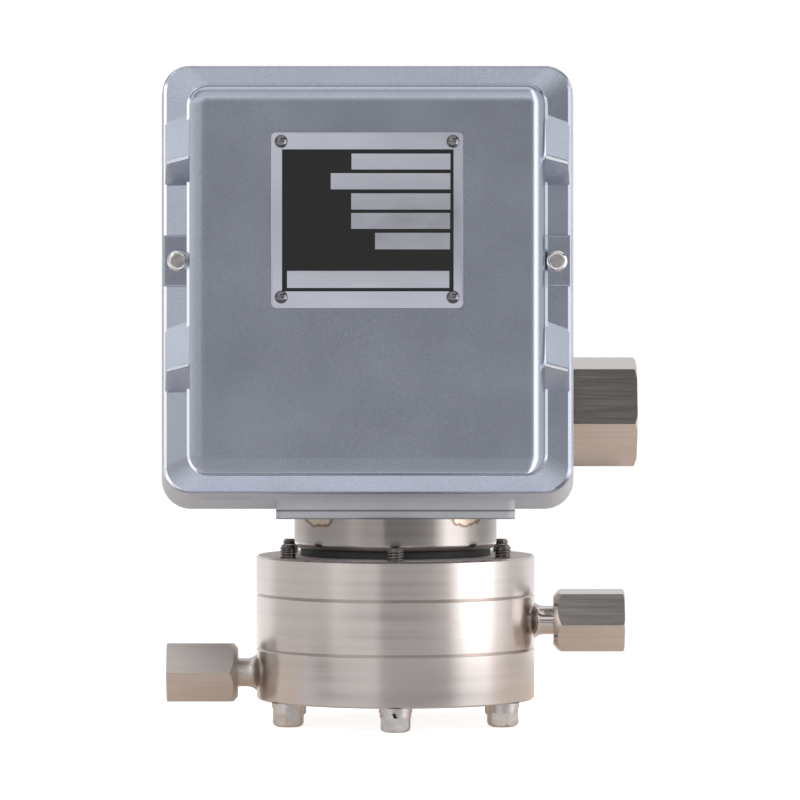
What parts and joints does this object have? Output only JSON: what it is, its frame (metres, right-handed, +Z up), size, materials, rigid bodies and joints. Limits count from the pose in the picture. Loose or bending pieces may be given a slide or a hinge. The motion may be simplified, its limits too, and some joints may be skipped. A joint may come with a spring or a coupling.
{
  "type": "differential pressure switch",
  "caption": "Differential pressure switch: grey cast enclosure with screwed front cover and conduit hub on a bolted stainless diaphragm stack with two threaded side ports.",
  "frame": {"origin": "on the axis of the flange stack, in the plane of the six bolt heads that the switch stands on", "axes": "+Z up along the stack and push rod axis, -Y towards the reader of the nameplate, +X to the reader's right towards the low pressure port and conduit hub"},
  "size_m": [0.1711, 0.1126, 0.2366],
  "materials": {
    "grey_paint": "satin metallic grey stove enamel",
    "stainless": "fine turned finish",
    "bolt_steel": "plain",
    "nameplate_metal": "satin etched plate",
    "black_rubber": "matt",
    "rod_steel": "turned",
    "spring_steel": "drawn wire",
    "plated_steel": "zinc plated",
    "brass": "turned",
    "switch_plastic": "moulded phenolic",
    "wire_sleeve": "insulated lead"
  },
  "bodies": {
    "root": {"rear_housing": "grey_paint", "cover_gasket": "black_rubber", "conduit_hub": "stainless", "conduit_seal": "black_rubber", "conduit_locknut": "bolt_steel", "spring_housing": "stainless", "housing_screws": "bolt_steel", "neck_gasket": "black_rubber", "upper_flange": "stainless", "middle_flange": "stainless", "lower_flange": "stainless", "high_port_adapter": "stainless", "low_port_adapter": "stainless", "flange_bolts": "bolt_steel", "spring_washers": "bolt_steel", "flat_washers": "bolt_steel", "sensing_diaphragm": "black_rubber", "seal_diaphragm": "black_rubber", "rod_guide_bush": "brass", "range_spring": "spring_steel", "spring_bridge": "plated_steel", "bridge_screws": "bolt_steel", "scale_plate": "nameplate_metal", "scale_screws": "bolt_steel", "microswitch_case": "switch_plastic", "microswitch_terminals": "brass", "microswitch_screws": "bolt_steel", "switch_bracket": "plated_steel", "bracket_screws": "bolt_steel", "terminal_block": "switch_plastic", "terminal_screws": "brass", "terminal_block_screws": "bolt_steel", "wire_closed": "wire_sleeve", "wire_common": "wire_sleeve", "wire_open": "wire_sleeve", "earth_screw": "bolt_steel", "earth_washer": "bolt_steel"},
    "cover": {"front_cover": "grey_paint", "cover_screws": "bolt_steel", "nameplate": "nameplate_metal", "nameplate_rivets": "bolt_steel"},
    "rod": {"push_rod": "rod_steel", "lower_spring_seat": "rod_steel", "diaphragm_plate_lower": "rod_steel", "diaphragm_plate_upper": "rod_steel", "diaphragm_nut": "rod_steel"},
    "upper_seat": {"upper_spring_seat": "rod_steel"},
    "adjusting_nut": {"adjusting_nut": "brass"},
    "plunger": {"microswitch_plunger": "switch_plastic"}
  },
  "joints": [
    {"name": "cover_lift", "type": "slide", "parent": "root", "child": "cover", "axis": [0, -1, 0], "range_m": [0, 0.08]},
    {"name": "rod_slide", "type": "slide", "parent": "root", "child": "rod", "axis": [0, 0, 1], "range_m": [0, 0.0008], "stiffness_N_per_m": 20000, "deforming": ["range_spring", "sensing_diaphragm", "seal_diaphragm"]},
    {"name": "plunger_slide", "type": "slide", "parent": "root", "child": "plunger", "axis": [0, 0, 1], "range_m": [0, 0.0009]},
    {"name": "seat_slide", "type": "slide", "parent": "root", "child": "upper_seat", "axis": [0, 0, 1], "range_m": [-0.004, 0.004]},
    {"name": "adjust_turn", "type": "hinge", "parent": "upper_seat", "child": "adjusting_nut", "pos_m": [0, 0, 0.12], "axis": [0, 0, 1], "range_deg": [-960, 960]}
  ],
  "couplings": [
    {"joint": "plunger_slide", "follows": "rod_slide", "ratio": 1},
    {"joint": "adjust_turn", "follows": "seat_slide", "rad_per_m": 4188.8}
  ]
}
